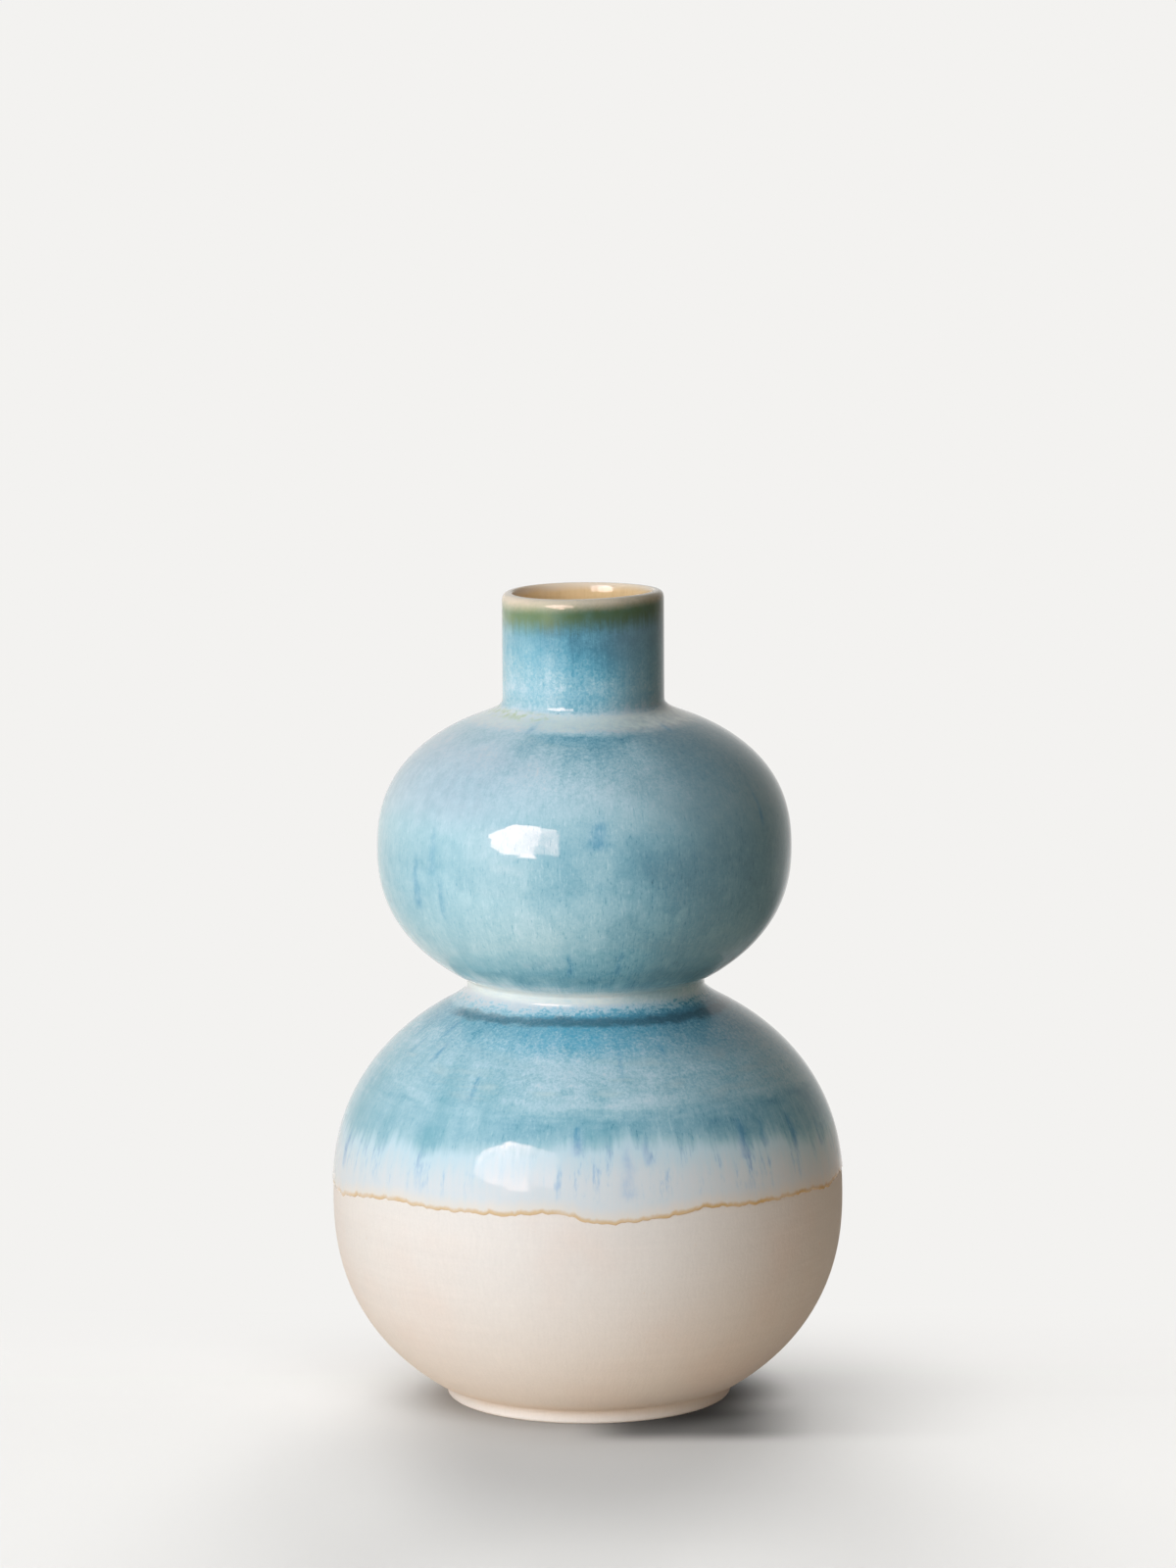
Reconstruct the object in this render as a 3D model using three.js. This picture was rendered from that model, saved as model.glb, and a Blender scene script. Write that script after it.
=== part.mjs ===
// Stoneware vase: a wide lower bulb on a foot ring, a smaller upper bulb and a straight neck.
//
// Each piece is a solid of revolution about Z, in millimetres. The origin is the centre of the
// foot's underside. The clay's outside and inside are each one formula, radius by height, and
// every piece, seam and glaze coat is cut from those two outlines, so they always fit.

import * as THREE from "three";
import { mergeVertices } from "three/addons/utils/BufferGeometryUtils.js";

// Driving dimensions

const HEIGHT = 220;

// A bulb is widest at its level. Its outline falls away below and above along a rounded
// curve; a higher fullness makes that side squarer.
const LOWER_BULB = {
  radius: 69.3,
  level: 55.3,
  reachBelow: 62,
  reachAbove: 61.4,
  fullnessBelow: 2.3,
  fullnessAbove: 2.25,
};
const UPPER_BULB = {
  radius: 55.6,
  riseFromWaist: 37.1,
  reachBelow: 41.5,
  reachAbove: 40.6,
  fullnessBelow: 2.22,
  fullnessAbove: 2.45,
};
const WAIST = { level: 113, radius: 31.8, filletBelow: 6.7, crease: 1.2 };
const NECK = { radius: 21.4, wall: 2.5, fillet: 7.1, riseFromBulb: 35.9 };
const LIP = { round: 1.9, steps: 3 };
const FOOT = { radius: 38.7, innerRadius: 30.5, height: 4, ledge: 0.8, slope: 3, fillet: 2.5 };
const FOOT_EDGE = { rise: 0.8, inset: 0.6 };

const WALL = 4;
const FLOOR = 5;
const FLOOR_COVE = 8;
const CAVITY_FILLET = 9;
const SEAM = 0.4;

// The two coats of glaze, which meet on the crest of the lip, with their clearance to the clay
// and to each other, and the wavy line where the outer one ends.
const GLAZE = { thickness: 0.4, clearance: 0.05 };
const GLAZE_LINE = { level: 61.5, wave: 1, margin: 1.2, bevel: 0.5 };

// What the hand left uneven: the upper sections sit off the lower bulb's axis, and the rim
// tips a little to one side and twists.
const OFF_AXIS = { shift: -0.45, from: 95, to: 130 };
const RIM = { tip: 0.3, twist: -0.13, depth: 20 };

const SEGMENTS = 36;

// Heights that follow from the sizes above

const upperLevel = WAIST.level + UPPER_BULB.riseFromWaist;
const neckJoint = upperLevel + NECK.riseFromBulb;
const coat = GLAZE.clearance + GLAZE.thickness;
const clayTop = HEIGHT - coat;
const floorTop = FOOT.height + FLOOR;
const lipRound = Math.min(LIP.round, NECK.wall * 0.8);
const lipInnerRound = NECK.wall - lipRound;
const neckBore = NECK.radius - NECK.wall;
const glazeRowLow = GLAZE_LINE.level - GLAZE_LINE.wave - GLAZE_LINE.margin;
const glazeRowHigh = GLAZE_LINE.level + GLAZE_LINE.wave + GLAZE_LINE.margin;

// The larger of two radii, with the corner between them rounded over a width.
function softMax(a, b, width) {
  const overlap = Math.max(width - Math.abs(a - b), 0) / width;
  return Math.max(a, b) + (overlap * overlap * width) / 4;
}

function smoothStep(value, from, to) {
  const share = THREE.MathUtils.clamp((value - from) / (to - from), 0, 1);
  return share * share * (3 - 2 * share);
}

// Radius of a bulb at a level, drawn in by an inset: zero for the outside, the wall for inside.
function bulbRadius(level, bulb, bulbLevel, inset) {
  const away = level - bulbLevel;
  const reach = (away < 0 ? bulb.reachBelow : bulb.reachAbove) - inset;
  const fullness = away < 0 ? bulb.fullnessBelow : bulb.fullnessAbove;
  const share = Math.min(Math.abs(away) / reach, 1);
  return (bulb.radius - inset) * Math.sqrt(1 - share ** fullness);
}

// Outside radius of the clay, from the foot to the neck.
function outsideRadius(level) {
  const ledgeTop = FOOT.height + FOOT.ledge;
  const undercut = Math.max(ledgeTop - level, 0) * FOOT.slope;
  const lower = bulbRadius(level, LOWER_BULB, LOWER_BULB.level, 0) - undercut;
  const upper = bulbRadius(level, UPPER_BULB, upperLevel, 0);
  if (level < LOWER_BULB.level) {
    return level < ledgeTop ? softMax(lower, FOOT.radius, FOOT.fillet) : lower;
  }
  if (level < upperLevel) {
    const collared = softMax(lower, WAIST.radius, WAIST.filletBelow);
    return softMax(collared, upper, WAIST.crease);
  }
  return softMax(upper, NECK.radius, NECK.fillet);
}

// Inside radius of the clay, from the floor to the neck.
function insideRadius(level) {
  const lower = bulbRadius(level, LOWER_BULB, LOWER_BULB.level, WALL);
  const upper = bulbRadius(level, UPPER_BULB, upperLevel, WALL);
  if (level < LOWER_BULB.level) {
    const up = Math.min(level - floorTop, FLOOR_COVE);
    return lower - FLOOR_COVE + Math.sqrt(FLOOR_COVE ** 2 - (FLOOR_COVE - up) ** 2);
  }
  if (level < upperLevel) {
    return softMax(Math.max(lower, upper), WAIST.radius - WALL, CAVITY_FILLET);
  }
  return softMax(upper, neckBore, CAVITY_FILLET);
}

// Levels between two ends, closer together near the ends, where a bulb's outline turns most.
function spread(from, to, steps) {
  const middle = (from + to) / 2;
  const half = (to - from) / 2;
  return Array.from({ length: steps + 1 }, (_, i) => middle - half * Math.cos((Math.PI * i) / steps));
}

const outline = (levels, radiusAt) => levels.map((level) => new THREE.Vector2(radiusAt(level), level));

// A quarter round about a centre in the outline's plane, without its first point.
function quarter(centreRadius, centreLevel, round, fromAngle) {
  return Array.from({ length: LIP.steps }, (_, i) => {
    const angle = fromAngle + ((i + 1) / LIP.steps) * (Math.PI / 2);
    return new THREE.Vector2(
      centreRadius + round * Math.cos(angle),
      centreLevel + round * Math.sin(angle),
    );
  });
}

// The outline moved sideways by a distance, to the right of the way it runs.
function moved(points, distance) {
  const steps = points.slice(1).map((point, i) => point.clone().sub(points[i]).normalize());
  return points.map((point, i) => {
    const before = steps[Math.max(i - 1, 0)];
    const after = steps[Math.min(i, steps.length - 1)];
    const along = before.clone().add(after).normalize();
    const mitre = distance / along.dot(after);
    return new THREE.Vector2(point.x + along.y * mitre, point.y - along.x * mitre);
  });
}

// The clay's outside and inside, section by section, each running upwards

const half = SEAM / 2;
const lowerOutside = outline(
  [
    ...spread(FOOT.height + half, glazeRowLow, 7),
    ...spread(glazeRowHigh, WAIST.level - half, 8),
  ],
  outsideRadius,
);
const upperOutside = outline(spread(WAIST.level + half, neckJoint - half, 11), outsideRadius);
const neckOutside = [
  ...outline(spread(neckJoint + half, neckJoint + NECK.fillet, 4), outsideRadius),
  new THREE.Vector2(NECK.radius, clayTop - lipRound),
];
const crestRadius = NECK.radius - lipRound;
const lipOutside = quarter(crestRadius, clayTop - lipRound, lipRound, 0);
const lipInside = quarter(crestRadius, clayTop - lipInnerRound, lipInnerRound, Math.PI / 2);
const lowerInside = outline(
  [
    ...spread(floorTop, floorTop + FLOOR_COVE, 4),
    ...spread(floorTop + FLOOR_COVE, WAIST.level - half, 9).slice(1),
  ],
  insideRadius,
);
const upperInside = outline(spread(WAIST.level + half, neckJoint - half, 9), insideRadius);
const neckInside = outline([neckJoint + half, neckJoint + NECK.fillet], insideRadius);

const down = (points) => [...points].reverse();
const onAxis = (level) => new THREE.Vector2(0, level);
const closed = (points) => [...points, points[0].clone()];

// A seam of slip fills the flat gap between two sections at a joint.
function seamOutline(joint, innerAt) {
  const bottom = joint - half;
  const top = joint + half;
  return closed([
    new THREE.Vector2(innerAt(bottom), bottom),
    new THREE.Vector2(outsideRadius(bottom), bottom),
    new THREE.Vector2(outsideRadius(top), top),
    new THREE.Vector2(innerAt(top), top),
  ]);
}

const footRingOutline = closed([
  new THREE.Vector2(FOOT.innerRadius, 0),
  new THREE.Vector2(FOOT.radius - FOOT_EDGE.inset, 0),
  ...outline([FOOT_EDGE.rise, FOOT.height - half], outsideRadius),
  new THREE.Vector2(FOOT.innerRadius, FOOT.height - half),
]);
const lowerBulbOutline = [
  onAxis(FOOT.height + half),
  ...lowerOutside,
  ...down(lowerInside),
  onAxis(floorTop),
];
const upperBulbOutline = closed([...upperOutside, ...down(upperInside)]);
const neckOutline = closed([...neckOutside, ...lipOutside, ...lipInside, ...down(neckInside)]);

// The outer coat runs from the row that holds the glaze line up to the crest of the lip.
const coated = [
  ...lowerOutside.slice(lowerOutside.findIndex((point) => point.y === glazeRowLow)),
  ...upperOutside,
  ...neckOutside,
  ...lipOutside,
];
const coatInner = moved(coated, GLAZE.clearance);
const coatOuter = moved(coated, coat);
const outerGlazeOutline = closed([...coatOuter, ...down(coatInner)]);

// The inner coat starts on the floor, climbs the inside and turns onto the lip to meet it.
const lined = [
  new THREE.Vector2(crestRadius - GLAZE.clearance, clayTop),
  ...lipInside,
  ...down(neckInside),
  ...down(upperInside),
  ...down(lowerInside),
  onAxis(floorTop),
];
const innerGlazeOutline = [...down(moved(lined, GLAZE.clearance)), ...moved(lined, coat)];
innerGlazeOutline[0].x = 0;
innerGlazeOutline[innerGlazeOutline.length - 1].x = 0;

// The lower edge of the outer coat waves: higher in front and behind, lower at the sides.
const glazeLineAt = (angle) => GLAZE_LINE.level - GLAZE_LINE.wave * Math.cos(2 * angle);

// A vertex of the outer coat's lowest ring slides up its own side of the row to the line.
function slideToGlazeLine(vertex) {
  const angle = Math.atan2(vertex.y, vertex.x);
  const radius = Math.hypot(vertex.x, vertex.y);
  const outer = radius > (coatInner[0].x + coatOuter[0].x) / 2;
  const [low, high] = outer ? coatOuter : coatInner;
  const level = glazeLineAt(angle) + (outer ? GLAZE_LINE.bevel : 0);
  const share = (level - low.y) / (high.y - low.y);
  const scale = THREE.MathUtils.lerp(low.x, high.x, share) / radius;
  vertex.set(vertex.x * scale, vertex.y * scale, level);
}

const isLowestRing = (vertex) => vertex.z < glazeRowLow + GLAZE_LINE.margin / 2;

// The hand's unevenness, the same for every piece, so that what touches stays in touch.
function throwByHand(vertex) {
  const angle = Math.atan2(vertex.y, vertex.x);
  const rise = RIM.tip * Math.cos(angle) + RIM.twist * Math.sin(2 * angle);
  vertex.x += OFF_AXIS.shift * smoothStep(vertex.z, OFF_AXIS.from, OFF_AXIS.to);
  vertex.z += rise * smoothStep(vertex.z, HEIGHT - RIM.depth, HEIGHT);
}

function turned(name, points, finish, shape = () => {}) {
  const geometry = new THREE.LatheGeometry(points, SEGMENTS);
  geometry.rotateX(Math.PI / 2);
  geometry.deleteAttribute("normal");
  geometry.deleteAttribute("uv");
  const joined = mergeVertices(geometry, 1e-4);
  const position = joined.getAttribute("position");
  const vertex = new THREE.Vector3();
  for (let i = 0; i < position.count; i += 1) {
    vertex.fromBufferAttribute(position, i);
    shape(vertex);
    throwByHand(vertex);
    position.setXYZ(i, vertex.x, vertex.y, vertex.z);
  }
  joined.computeVertexNormals();
  const mesh = new THREE.Mesh(joined, new THREE.MeshStandardMaterial({ ...finish, metalness: 0 }));
  mesh.name = name;
  return mesh;
}

const bareClay = { color: 0xdccfc2, roughness: 0.8 };
const slip = { color: 0xd3c0ad, roughness: 0.85 };
const blueGlaze = { color: 0x8fb9c4, roughness: 0.15 };
const sandGlaze = { color: 0xd8c39d, roughness: 0.2 };

const shapeCoat = (vertex) => {
  if (isLowestRing(vertex)) {
    slideToGlazeLine(vertex);
  }
};

const vase = new THREE.Group();
vase.add(
  turned("foot_ring", footRingOutline, bareClay),
  turned("foot_slip", seamOutline(FOOT.height, () => FOOT.innerRadius), slip),
  turned("lower_bulb", lowerBulbOutline, bareClay),
  turned("waist_slip", seamOutline(WAIST.level, insideRadius), slip),
  turned("upper_bulb", upperBulbOutline, bareClay),
  turned("neck_slip", seamOutline(neckJoint, insideRadius), slip),
  turned("neck", neckOutline, bareClay),
  turned("outer_glaze", outerGlazeOutline, blueGlaze, shapeCoat),
  turned("inner_glaze", innerGlazeOutline, sandGlaze),
);

export default vase;
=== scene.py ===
"""Stoneware vase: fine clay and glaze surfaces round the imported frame, with the studio."""

import math

import bpy
import numpy as np
from bpy.props import FloatProperty, FloatVectorProperty, PointerProperty
from mathutils import Matrix, Vector


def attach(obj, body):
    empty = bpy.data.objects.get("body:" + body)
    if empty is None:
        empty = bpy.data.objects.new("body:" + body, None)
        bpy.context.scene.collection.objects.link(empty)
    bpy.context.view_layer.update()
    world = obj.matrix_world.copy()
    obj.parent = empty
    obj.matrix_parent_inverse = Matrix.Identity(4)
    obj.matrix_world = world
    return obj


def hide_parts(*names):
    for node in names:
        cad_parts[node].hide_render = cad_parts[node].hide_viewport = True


bl_info = {
    "name": "Stoneware Vase",
    "version": (1, 0, 0),
    "blender": (4, 5, 0),
    "location": "3D View > Sidebar > Vase",
    "description": "Builds a double-gourd stoneware vase and its studio",
    "category": "Add Mesh",
}

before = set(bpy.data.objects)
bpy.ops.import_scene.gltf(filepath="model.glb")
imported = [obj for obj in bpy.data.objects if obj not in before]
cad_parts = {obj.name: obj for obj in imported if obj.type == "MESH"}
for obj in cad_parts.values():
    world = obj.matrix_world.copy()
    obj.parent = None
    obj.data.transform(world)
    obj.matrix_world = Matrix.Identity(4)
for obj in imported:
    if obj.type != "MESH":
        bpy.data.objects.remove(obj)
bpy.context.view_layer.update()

MM = 0.001


# Sizes and colours

def srgb(code):
    """A linear colour from six hexadecimal digits of sRGB."""
    parts = [int(code[i:i + 2], 16) / 255 for i in (0, 2, 4)]
    return tuple(c / 12.92 if c <= 0.04045 else ((c + 0.055) / 1.055) ** 2.4 for c in parts)


def length(name, millimetres, description):
    """A size in metres whose default is given in millimetres."""
    return FloatProperty(
        name=name, description=description, default=millimetres * MM,
        subtype="DISTANCE", unit="LENGTH", precision=5,
    )


def number(name, default, description):
    """A plain number."""
    return FloatProperty(name=name, description=description, default=default, min=0)


def colour(name, code, description):
    """A linear colour whose default is given as six hexadecimal digits of sRGB."""
    return FloatVectorProperty(
        name=name, description=description, default=srgb(code), size=3,
        subtype="COLOR", min=0, max=1,
    )


class VASE_PG_sizes(bpy.types.PropertyGroup):
    """Sizes of the clay, the seams and the coats of glaze"""
    height: length("Height", 220, "Top of the lip over the table")
    lower_radius: length("Lower bulb radius", 69.3, "Widest radius of the lower bulb's clay")
    lower_level: length("Lower bulb level", 55.3, "Height of the lower bulb's widest ring")
    lower_below: length("Lower bulb reach below", 62, "Depth of the curve under the widest ring")
    lower_above: length("Lower bulb reach above", 61.4, "Rise of the curve over the widest ring")
    lower_full_below: number("Lower fullness below", 2.3, "Squareness of the curve below")
    lower_full_above: number("Lower fullness above", 2.25, "Squareness of the curve above")
    upper_radius: length("Upper bulb radius", 55.6, "Widest radius of the upper bulb's clay")
    upper_level: length("Upper bulb level", 150.1, "Height of the upper bulb's widest ring")
    upper_below: length("Upper bulb reach below", 41.5, "Depth of the curve under the widest ring")
    upper_above: length("Upper bulb reach above", 40.6, "Rise of the curve over the widest ring")
    upper_full_below: number("Upper fullness below", 2.22, "Squareness of the curve below")
    upper_full_above: number("Upper fullness above", 2.45, "Squareness of the curve above")
    waist_level: length("Waist level", 113, "Height of the joint between the bulbs")
    waist_radius: length("Waist radius", 31.8, "Radius of the collar at the waist")
    waist_fillet: length("Waist fillet", 6.7, "Rounding of the cove under the waist")
    waist_crease: length("Waist crease", 1.2, "Rounding of the crease over the waist")
    neck_radius: length("Neck radius", 21.4, "Outside radius of the neck's clay")
    neck_wall: length("Neck wall", 2.5, "Thickness of the neck's clay")
    neck_fillet: length("Neck fillet", 7.1, "Rounding between the upper bulb and the neck")
    neck_joint: length("Neck joint", 186, "Height of the joint under the neck")
    lip_round: length("Lip rounding", 1.9, "Outer rounding of the lip, sideways")
    lip_drop: length("Lip drop", 2.2, "Outer rounding of the lip, up and down")
    mouth_flare: length("Mouth flare", 5, "Height over which the neck opens inside its lip")
    foot_radius: length("Foot radius", 38.7, "Outside radius of the foot ring")
    foot_inner: length("Foot inner radius", 30.5, "Inside radius of the foot ring")
    foot_height: length("Foot height", 4, "Height of the foot ring")
    foot_ledge: length("Foot ledge", 0.8, "Rise of the undercut over the foot ring")
    foot_fillet: length("Foot fillet", 2.5, "Rounding between the foot and the bulb")
    foot_edge: length("Foot edge", 0.8, "Size of the soft edge the foot stands on")
    wall: length("Wall", 4, "Thickness of the clay")
    floor: length("Floor", 5, "Thickness of the clay under the inside")
    floor_cove: length("Floor cove", 8, "Rounding between the floor and the wall inside")
    cavity_fillet: length("Cavity fillet", 9, "Rounding inside the waist and the neck")
    seam: length("Seam", 0.4, "Thickness of a seam of slip")
    glaze: length("Glaze thickness", 0.38, "Thickness of the glass coats")
    glaze_gap: length("Glaze clearance", 0.05, "Clearance between a coat and the clay")
    neck_pool: length("Neck pool", 1.15, "How widely the glaze rounds the corner under the neck")
    waist_bead: length("Waist bead", 0.16, "Height of the beads of glaze at the waist")
    lean: length("Lean", -0.45, "Sideways step of the upper sections over the lower bulb")
    rim_tip: length("Rim tip", 0.28, "Rise of the rim at one side")
    rim_twist: length("Rim twist", -0.13, "Second, doubled wave of the rim")


class VASE_PG_colours(bpy.types.PropertyGroup):
    """Colours of the glazes, the clay and the slip"""
    milk: colour("Milk", "DCDEDE", "Thin outer glaze, milky over the clay")
    mist: colour("Mist", "C8DCE2", "Outer glaze, a fifth of its depth")
    aqua: colour("Aqua", "ACCDD4", "Outer glaze, two fifths of its depth")
    sky: colour("Sky", "8EBAC6", "Outer glaze, three fifths of its depth")
    blue: colour("Blue", "69A0B2", "Outer glaze, four fifths of its depth")
    deep: colour("Deep", "4C7A8C", "Outer glaze where it pools")
    cove: colour("Cove", "E8EDE5", "The pale glaze in both coves and in sweeps on the lower bulb")
    # Painted shade: the slate cast on the right, the side away from the softbox
    shade_slate: colour("Slate", "6E8791", "Grey cast of the outer glaze on its right")
    teal: colour("Teal", "62A6B0", "Greener streaks of the lower glaze")
    azure: colour("Azure", "63B7D0", "Clearer blue under the waist and on the neck")
    cobalt: colour("Cobalt", "5C9DC8", "Single runs of stronger blue")
    dusk: colour("Dusk", "AEB4C0", "Grey cast of the upper glaze on its left shoulder")
    # Partly painted shade: the dark line also stands for the shade in the crease under the upper
    # bulb
    crease: colour("Crease", "37505C", "The dark line under the waist")
    lavender: colour("Lavender", "93A6CC", "Runs through the milky glaze")
    lime: colour("Lime", "C0C98C", "Yellow-green flecks on the ring under the neck")
    moss: colour("Moss", "7E9168", "The olive ring under the lip where it is thin")
    olive: colour("Olive", "4B5F40", "The olive ring under the lip where it is thick")
    amber: colour("Amber", "D2A75A", "The line where the glaze ends on the clay")
    lip: colour("Lip", "F6DEC4", "Thin glaze on the lip and at the glaze line")
    sand: colour("Sand", "F8D29E", "The inner glaze")
    # Honey also gives the painted warm shade in the clay's fold over the foot
    honey: colour("Honey", "DDB27C", "The inner glaze where it pools, and specks of the clay")
    clay: colour("Clay", "E7E0D8", "Bare fired clay")
    blush: colour("Blush", "E8D7CB", "Pink flashes of the bare clay")
    chalk: colour("Chalk", "EEE8E0", "Pale patches of the bare clay")
    slip: colour("Slip", "E6DCD2", "The seams of slip")


# Outlines: radius by level, as whole arrays, in metres

UNDERCUT = 3  # slope of the undercut over the foot ring: how far in for each step down


def soft_max(a, b, width):
    """The larger of two radii. Where they differ by less than a width, their corner is
    rounded: it gains a quarter of the width times the square of the share they overlap."""
    overlap = np.maximum(width - np.abs(a - b), 0) / width
    return np.maximum(a, b) + overlap ** 2 * width / 4


def smooth_step(value, low, high):
    """Zero below low, one above high and an even S between: the part of the way, squared,
    times three minus twice that part."""
    part = np.clip((value - low) / (high - low), 0, 1)
    return part * part * (3 - 2 * part)


def bump_shape(value, centre, half):
    """One at a centre, falling as a bell to either side: e to the power of minus the square
    of the distance in half widths."""
    return np.exp(-((value - centre) / half) ** 2)


def bulb(s, which, level, inset=0):
    """A bulb's radius: its widest radius times the root of one minus the height from its
    centre, as a share of its reach, raised to its fullness."""
    centre, radius, below, above, full_below, full_above = (
        getattr(s, f"{which}_{size}")
        for size in ("level", "radius", "below", "above", "full_below", "full_above"))
    away = level - centre
    reach = np.where(away < 0, below, above) - inset
    fullness = np.where(away < 0, full_below, full_above)
    part = np.minimum(np.abs(away) / reach, 1)
    return (radius - inset) * np.sqrt(1 - part ** fullness)


def outside(s, level):
    """The clay's outer radius from the foot to the neck: the larger of what stands at a
    level, rounded where two forms meet."""
    level = np.asarray(level, float)
    lower, upper = bulb(s, "lower", level), bulb(s, "upper", level)
    ledge = s.foot_height + s.foot_ledge
    under = lower - np.maximum(ledge - level, 0) * UNDERCUT
    foot = np.where(level < ledge, soft_max(under, s.foot_radius, s.foot_fillet), lower)
    waist = soft_max(soft_max(lower, s.waist_radius, s.waist_fillet), upper, s.waist_crease)
    neck = soft_max(upper, s.neck_radius, s.neck_fillet)
    above = np.where(level < s.upper_level, waist, neck)
    return np.where(level < s.lower_level, foot, above)


def inside(s, level):
    """The clay's inner radius from the floor to the neck, a wall in from the bulbs."""
    level = np.asarray(level, float)
    lower, upper = bulb(s, "lower", level, s.wall), bulb(s, "upper", level, s.wall)
    rise = np.clip(level - s.foot_height - s.floor, 0, s.floor_cove)
    cove = lower - s.floor_cove + np.sqrt(s.floor_cove ** 2 - (s.floor_cove - rise) ** 2)
    waist = soft_max(np.maximum(lower, upper), s.waist_radius - s.wall, s.cavity_fillet)
    neck = soft_max(upper, s.neck_radius - s.neck_wall, s.cavity_fillet)
    above = np.where(level < s.upper_level, waist, neck)
    return np.where(level < s.lower_level, cove, above)


def spread(low, high, steps):
    """Levels from low to high, closer together near both ends: the middle minus half the
    way times the cosine of even turns from none to a half."""
    return (low + high) / 2 - (high - low) / 2 * np.cos(np.linspace(0, np.pi, steps + 1))


def rows(radius, level):
    """Points of an outline, one row each of radius and level."""
    return np.column_stack(np.broadcast_arrays(np.asarray(radius, float), level))


def quarter(radius, level, wide, tall, start, steps, full=2):
    """A quarter of an ellipse about a centre, without its first point. Its cosine and sine
    are raised to two parts in so many, so that 2 gives the ellipse and more a fuller curve."""
    turn = start + np.linspace(0, np.pi / 2, steps + 1)[1:]
    across, up = (np.sign(a) * np.abs(a) ** (2 / full) for a in (np.cos(turn), np.sin(turn)))
    return rows(radius + wide * across, level + tall * up)


def moved(points, distance):
    """The outline moved sideways by a distance, to the right of the way it runs."""
    step = np.diff(points, axis=0)
    step /= np.linalg.norm(step, axis=1, keepdims=True)
    before = np.vstack([step[:1], step])
    after = np.vstack([step, step[-1:]])
    along = before + after
    along /= np.linalg.norm(along, axis=1, keepdims=True)
    mitre = np.reshape(distance, (-1, 1)) / np.sum(along * after, axis=1, keepdims=True)
    return points + np.column_stack([along[:, 1], -along[:, 0]]) * mitre


# Surfaces

LEAN_LEVELS = (0.095, 0.130)  # where the upper sections' sideways step sets in
RIM_DEPTH = 0.020  # how far under the top the rim starts to tip
SHARP = 40  # edges that turn by more degrees are left sharp


def throw_by_hand(s, x, y, z):
    """What the hand left uneven, as in the frame: above the waist all slides sideways, and
    the rim rises by the cosine of the turn, tipping, and the sine of twice the turn,
    twisting."""
    turn = np.arctan2(y, x)
    x = x + s.lean * smooth_step(z, *LEAN_LEVELS)
    rise = s.rim_tip * np.cos(turn) + s.rim_twist * np.sin(2 * turn)
    z = z + rise * smooth_step(z, s.height - RIM_DEPTH, s.height)
    return x, y, z


def ring_faces(rings, columns, closed):
    """The four corners of each face of a grid of rings, as one array; the last column joins
    the first, and the last ring joins the first where the outline is closed."""
    ring = np.arange(rings if closed else rings - 1)[:, None] * columns
    above = (ring + columns) % (rings * columns)
    column = np.arange(columns)[None]
    beside = (column + 1) % columns
    corners = [ring + column, ring + beside, above + beside, above + column]
    return np.stack(corners, axis=-1).reshape(-1, 4)


def turned(s, name, radius, level, columns):
    """A closed surface of revolution. Its outline runs anticlockwise in radius and level,
    ring by ring: x and y are the radius times the cosine and sine of the turn, and z is the
    level. Either may also change with the turn. An outline that starts and ends on the axis
    closes there in two poles."""
    turn = turns(columns)
    radius, level = (np.broadcast_to(a, (len(a), columns)) for a in (radius, level))
    poles = not radius[0].any()
    ends = [[0, 0, level[0, 0]], [0, 0, level[-1, 0]]]
    if poles:
        radius, level = radius[1:-1], level[1:-1]
    x, y, z = throw_by_hand(s, radius * np.cos(turn), radius * np.sin(turn), level)
    points = np.stack([x, y, z], axis=-1).reshape(-1, 3)
    faces = ring_faces(len(radius), columns, not poles).tolist()
    if poles:
        column = np.arange(columns)
        beside = (column + 1) % columns
        last = len(points) - columns
        first_pole, last_pole = (np.full(columns, len(points) + i) for i in (0, 1))
        faces += np.stack([first_pole, beside, column], axis=-1).tolist()
        faces += np.stack([last + column, last + beside, last_pole], axis=-1).tolist()
        points = np.vstack([points, ends])
    mesh = bpy.data.meshes.new(name)
    mesh.from_pydata(points.tolist(), [], faces)
    mesh.polygons.foreach_set("use_smooth", np.ones(len(mesh.polygons), bool))
    mesh.set_sharp_from_angle(angle=math.radians(SHARP))
    mesh.update()
    return placed(name, mesh)


def placed(name, data):
    """A new object of the scene with its mesh, lamp or camera."""
    made = bpy.data.objects.new(name, data)
    bpy.context.scene.collection.objects.link(made)
    return made


def note(piece, name, values):
    """Keeps a number for each point of a piece, which its finish can read."""
    kept = piece.data.attributes.new(name, "FLOAT", "POINT")
    kept.data.foreach_set("value", np.asarray(values, np.float32).ravel())


def turns(columns):
    """The columns' angles about the axis, from the side that faces right in the picture."""
    return np.arange(columns) * (2 * np.pi / columns)


def from_outline(s, name, outline, columns):
    """A surface of revolution whose outline is the same all round."""
    outline = np.asarray(outline, float)
    return turned(s, name, outline[:, :1], outline[:, 1:], columns)


def foot_outline(s):
    """The foot ring: a flat underside, a soft outer edge and the foot's side up to the seam."""
    edge, soft = s.foot_edge, 0.0004
    side = spread(edge, s.foot_height - s.seam / 2, 10)
    turn = np.linspace(0, np.pi / 2, 7)[:-1]
    base = float(outside(s, edge))
    return np.vstack([
        [[s.foot_inner + soft, 0]],
        rows(base - edge + edge * np.sin(turn), edge - edge * np.cos(turn)),
        rows(outside(s, side), side),
        [[s.foot_inner, side[-1]], [s.foot_inner, soft]],
    ])


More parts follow.
